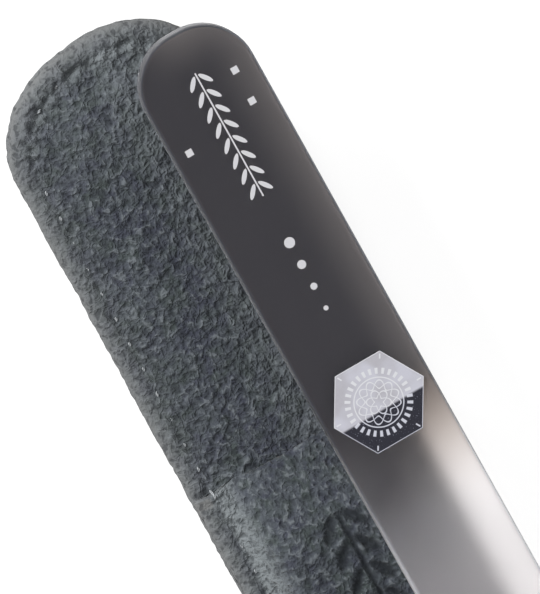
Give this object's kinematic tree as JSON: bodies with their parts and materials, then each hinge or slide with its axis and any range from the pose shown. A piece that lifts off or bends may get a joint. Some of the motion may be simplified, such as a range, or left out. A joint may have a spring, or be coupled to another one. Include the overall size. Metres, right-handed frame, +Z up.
{
  "type": "glass nail file with sleeve",
  "caption": "Flat glass nail file with rounded handle end and tapered tip, lying over its slim stitched suede sleeve with an open pocket and a bare tongue.",
  "frame": {"origin": "middle of the sleeve's flat underside", "axes": "+X along the sleeve from its rounded tongue end towards the file's tip, +Y towards the side that the file lies over, +Z up"},
  "size_m": [0.1425, 0.027, 0.0112],
  "materials": {
    "suede": "napped suede, slate grey-green, mottled",
    "stiffener_board": "plain sheet, hidden between the layers",
    "sewing_thread": "twisted polyester sewing thread",
    "frosted_glass": "etched matt glass, dark smoky lacquer on the handle fading to clear",
    "label_foil": "two-tone reflective foil"
  },
  "bodies": {
    "sleeve": {"back_panel": "suede", "stiffener_sheet": "stiffener_board", "lining_panel": "suede", "front_panel": "suede", "needle_thread": "sewing_thread", "bobbin_thread": "sewing_thread"},
    "file": {"glass_blade": "frosted_glass", "hexagon_label": "label_foil"}
  },
  "joints": [
    {"name": "file_lift", "type": "slide", "parent": "sleeve", "child": "file", "axis": [0, 0, 1], "range_m": [0, 0.04]}
  ]
}
